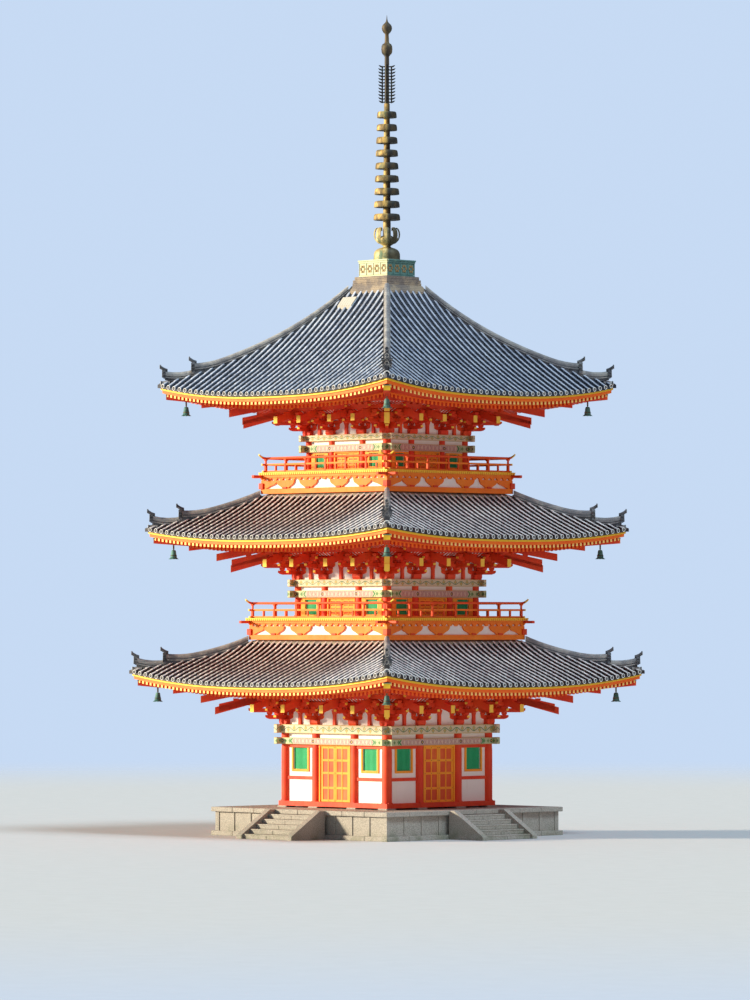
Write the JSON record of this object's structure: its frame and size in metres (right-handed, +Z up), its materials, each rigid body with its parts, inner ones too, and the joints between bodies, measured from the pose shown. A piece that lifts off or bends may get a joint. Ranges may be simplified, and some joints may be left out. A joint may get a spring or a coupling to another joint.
{
  "type": "three-storey timber pagoda",
  "caption": "Square timber tower with three tiled roofs, railed balconies, a ringed spire and wind bells, on a stone podium.",
  "frame": {"origin": "on the ground under the middle of the podium", "axes": "+Z up along the spire, -Y towards the front with the opening doors, +X to its right"},
  "size_m": [13.796, 13.796, 31],
  "materials": {
    "stone": "dressed grey granite, weathered",
    "vermilion_timber": "vermilion paint on timber, satin",
    "orange_timber": "orange paint on timber, satin",
    "yellow_ends": "yellow ochre paint on cut ends",
    "patterned_beam": "painted bands of scrolls and chevrons",
    "white_plaster": "lime plaster, matt",
    "green_lattice": "green paint on wooden bars",
    "roof_tile": "smoked grey clay tile, weathered",
    "bare_board": "bare boards",
    "green_copper": "cast bronze with verdigris",
    "spire_bronze": "dark cast bronze with patches of green and yellow"
  },
  "bodies": {
    "tower": {"podium": "stone", "steps_front": "stone", "steps_right": "stone", "steps_back": "stone", "steps_left": "stone", "floor_1": "bare_board", "door_right": "orange_timber", "door_back": "orange_timber", "door_left": "orange_timber", "roof_hatch": "bare_board", "spire_base": "green_copper", "spire_bowl_and_lotus": "spire_bronze", "spire_rings": "spire_bronze", "spire_flames": "spire_bronze", "spire_jewels": "spire_bronze", "frame_1": "vermilion_timber", "walls_1": "white_plaster", "windows_1": "green_lattice", "brackets_1": "vermilion_timber", "eave_purlin_1": "vermilion_timber", "eaves_1": "orange_timber", "roof_tiles_1": "roof_tile", "corner_ridges_1": "roof_tile", "frame_2": "vermilion_timber", "walls_2": "white_plaster", "windows_2": "green_lattice", "brackets_2": "vermilion_timber", "eave_purlin_2": "vermilion_timber", "eaves_2": "orange_timber", "roof_tiles_2": "roof_tile", "corner_ridges_2": "roof_tile", "frame_3": "vermilion_timber", "walls_3": "white_plaster", "windows_3": "green_lattice", "brackets_3": "vermilion_timber", "eave_purlin_3": "vermilion_timber", "eaves_3": "orange_timber", "roof_tiles_3": "roof_tile", "corner_ridges_3": "roof_tile", "balcony_base_2": "orange_timber", "balcony_deck_2": "orange_timber", "railing_2": "orange_timber", "balcony_base_3": "orange_timber", "balcony_deck_3": "orange_timber", "railing_3": "orange_timber"},
    "front_door_left": {"front_door_left": "orange_timber"},
    "front_door_right": {"front_door_right": "orange_timber"},
    "bell_1_front_right": {"bell_1_front_right": "green_copper"},
    "bell_1_back_right": {"bell_1_back_right": "green_copper"},
    "bell_1_back_left": {"bell_1_back_left": "green_copper"},
    "bell_1_front_left": {"bell_1_front_left": "green_copper"},
    "bell_2_front_right": {"bell_2_front_right": "green_copper"},
    "bell_2_back_right": {"bell_2_back_right": "green_copper"},
    "bell_2_back_left": {"bell_2_back_left": "green_copper"},
    "bell_2_front_left": {"bell_2_front_left": "green_copper"},
    "bell_3_front_right": {"bell_3_front_right": "green_copper"},
    "bell_3_back_right": {"bell_3_back_right": "green_copper"},
    "bell_3_back_left": {"bell_3_back_left": "green_copper"},
    "bell_3_front_left": {"bell_3_front_left": "green_copper"}
  },
  "joints": [
    {"name": "front_door_left_hinge", "type": "hinge", "parent": "tower", "child": "front_door_left", "pos_m": [-0.73, -2.71, 1.3], "axis": [0, 0, -1], "range_deg": [0, 90]},
    {"name": "front_door_right_hinge", "type": "hinge", "parent": "tower", "child": "front_door_right", "pos_m": [0.73, -2.71, 1.3], "axis": [0, 0, 1], "range_deg": [0, 90]},
    {"name": "bell_1_front_right_swing", "type": "hinge", "parent": "tower", "child": "bell_1_front_right", "pos_m": [6.11564, -6.11564, 5.41982], "axis": [0.7071, 0.7071, 0], "range_deg": [-20, 20]},
    {"name": "bell_1_back_right_swing", "type": "hinge", "parent": "tower", "child": "bell_1_back_right", "pos_m": [6.11564, 6.11564, 5.41982], "axis": [-0.7071, 0.7071, 0], "range_deg": [-20, 20]},
    {"name": "bell_1_back_left_swing", "type": "hinge", "parent": "tower", "child": "bell_1_back_left", "pos_m": [-6.11564, 6.11564, 5.41982], "axis": [-0.7071, -0.7071, 0], "range_deg": [-20, 20]},
    {"name": "bell_1_front_left_swing", "type": "hinge", "parent": "tower", "child": "bell_1_front_left", "pos_m": [-6.11564, -6.11564, 5.41982], "axis": [0.7071, -0.7071, 0], "range_deg": [-20, 20]},
    {"name": "bell_2_front_right_swing", "type": "hinge", "parent": "tower", "child": "bell_2_front_right", "pos_m": [5.69764, -5.69764, 10.79999], "axis": [0.7071, 0.7071, 0], "range_deg": [-20, 20]},
    {"name": "bell_2_back_right_swing", "type": "hinge", "parent": "tower", "child": "bell_2_back_right", "pos_m": [5.69764, 5.69764, 10.79999], "axis": [-0.7071, 0.7071, 0], "range_deg": [-20, 20]},
    {"name": "bell_2_back_left_swing", "type": "hinge", "parent": "tower", "child": "bell_2_back_left", "pos_m": [-5.69764, 5.69764, 10.79999], "axis": [-0.7071, -0.7071, 0], "range_deg": [-20, 20]},
    {"name": "bell_2_front_left_swing", "type": "hinge", "parent": "tower", "child": "bell_2_front_left", "pos_m": [-5.69764, -5.69764, 10.79999], "axis": [0.7071, -0.7071, 0], "range_deg": [-20, 20]},
    {"name": "bell_3_front_right_swing", "type": "hinge", "parent": "tower", "child": "bell_3_front_right", "pos_m": [5.36464, -5.36464, 16.21177], "axis": [0.7071, 0.7071, 0], "range_deg": [-20, 20]},
    {"name": "bell_3_back_right_swing", "type": "hinge", "parent": "tower", "child": "bell_3_back_right", "pos_m": [5.36464, 5.36464, 16.21177], "axis": [-0.7071, 0.7071, 0], "range_deg": [-20, 20]},
    {"name": "bell_3_back_left_swing", "type": "hinge", "parent": "tower", "child": "bell_3_back_left", "pos_m": [-5.36464, 5.36464, 16.21177], "axis": [-0.7071, -0.7071, 0], "range_deg": [-20, 20]},
    {"name": "bell_3_front_left_swing", "type": "hinge", "parent": "tower", "child": "bell_3_front_left", "pos_m": [-5.36464, -5.36464, 16.21177], "axis": [0.7071, -0.7071, 0], "range_deg": [-20, 20]}
  ]
}
